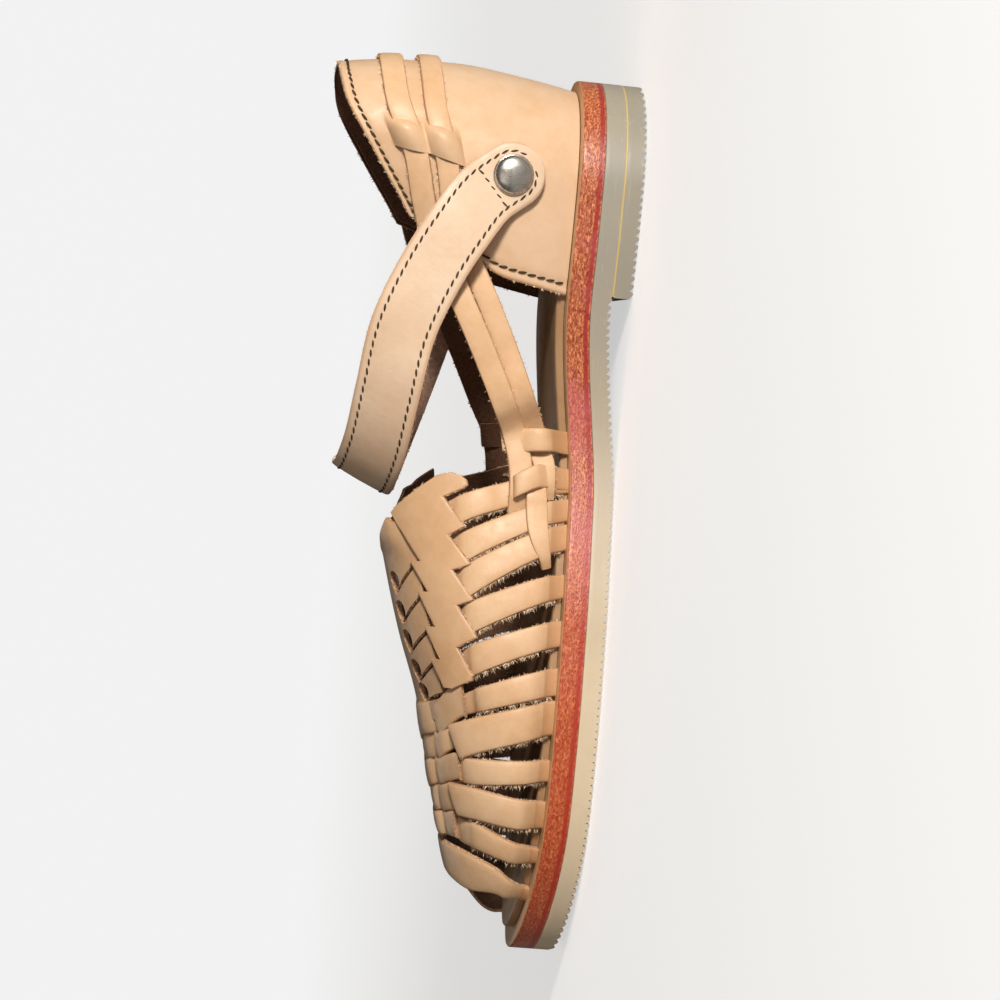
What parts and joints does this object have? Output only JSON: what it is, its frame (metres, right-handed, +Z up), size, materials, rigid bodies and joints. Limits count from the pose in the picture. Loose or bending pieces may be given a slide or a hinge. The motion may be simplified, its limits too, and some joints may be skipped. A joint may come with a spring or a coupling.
{
  "type": "huarache sandal",
  "caption": "Woven leather huarache sandal with a closed heel cup, heel straps laced into the sides of the weave, a snapped ankle strap and a ribbed rubber sole.",
  "frame": {"origin": "centre of the bounding box on the floor, under the waist of the sole", "axes": "+Y from heel to toe, +X towards the outer side of the right foot, +Z up from the floor"},
  "size_m": [0.0906, 0.265, 0.0914],
  "materials": {
    "rubber": "cream moulded rubber, slightly matt, with cut saw teeth",
    "midsole_leather": "stacked leather with a dyed and polished red-orange edge",
    "insole_leather": "natural leather footbed, smooth",
    "upper_leather": "natural vegetable-tanned leather, smooth grain side and raw cut edges",
    "snap_metal": "polished nickel"
  },
  "bodies": {
    "root": {"heel_lift": "rubber", "outsole": "rubber", "midsole": "midsole_leather", "insole": "insole_leather", "vamp": "upper_leather", "counter": "upper_leather", "heel_strap_upper": "upper_leather", "heel_strap_lower": "upper_leather", "ankle_strap": "upper_leather", "snap_inner": "snap_metal", "snap_outer": "snap_metal"}
  },
  "joints": []
}
